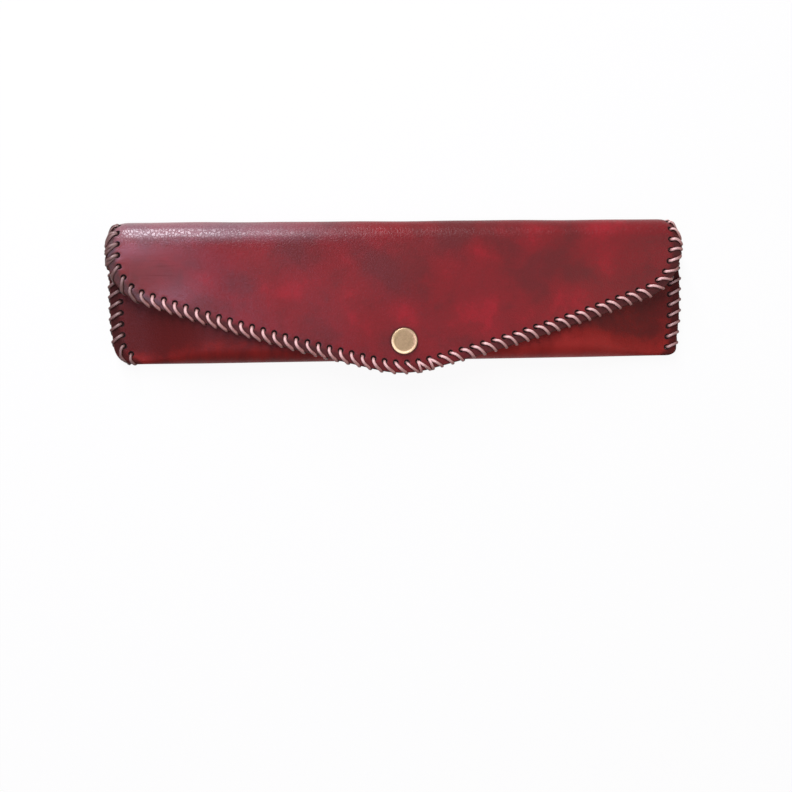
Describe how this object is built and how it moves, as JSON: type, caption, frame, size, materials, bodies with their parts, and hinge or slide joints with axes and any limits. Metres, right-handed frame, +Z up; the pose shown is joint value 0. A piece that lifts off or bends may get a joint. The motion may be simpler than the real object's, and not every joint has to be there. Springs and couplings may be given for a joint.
{
  "type": "santoor mallet case",
  "caption": "Slim folded leather case for santoor mallets, whip-stitched with lace along its sides and flap, with a broad pointed flap closed by one snap",
  "frame": {"origin": "middle of the footprint, on the surface that the case lies on", "axes": "+X along the case, +Y towards the top fold, +Z up out of the flap's face"},
  "size_m": [0.2749, 0.0756, 0.0207],
  "materials": {
    "hide": "mottled antique red, semi-gloss",
    "lace": "rose-brown lace, satin",
    "snap": "antique brass"
  },
  "bodies": {
    "pocket": {"pocket_leather": "hide", "pocket_lace_left": "lace", "pocket_lace_right": "lace", "snap_stud": "snap", "snap_eyelet": "snap"},
    "fold": {"top_fold": "hide", "fold_lace_left": "lace", "fold_lace_right": "lace"},
    "flap": {"flap_leather": "hide", "flap_lace_left": "lace", "flap_lace_right": "lace", "snap_cap": "snap", "snap_socket": "snap", "snap_spring": "snap"}
  },
  "joints": [
    {"name": "back_crease", "type": "hinge", "parent": "pocket", "child": "fold", "pos_m": [0, 0.03503, 0.00337], "axis": [-1, 0, 0], "range_deg": [0, 90]},
    {"name": "front_crease", "type": "hinge", "parent": "fold", "child": "flap", "pos_m": [0, 0.03386, 0.01626], "axis": [-1, 0, 0], "range_deg": [0, 90]}
  ],
  "couplings": [
    {"joint": "front_crease", "follows": "back_crease", "ratio": 1}
  ]
}
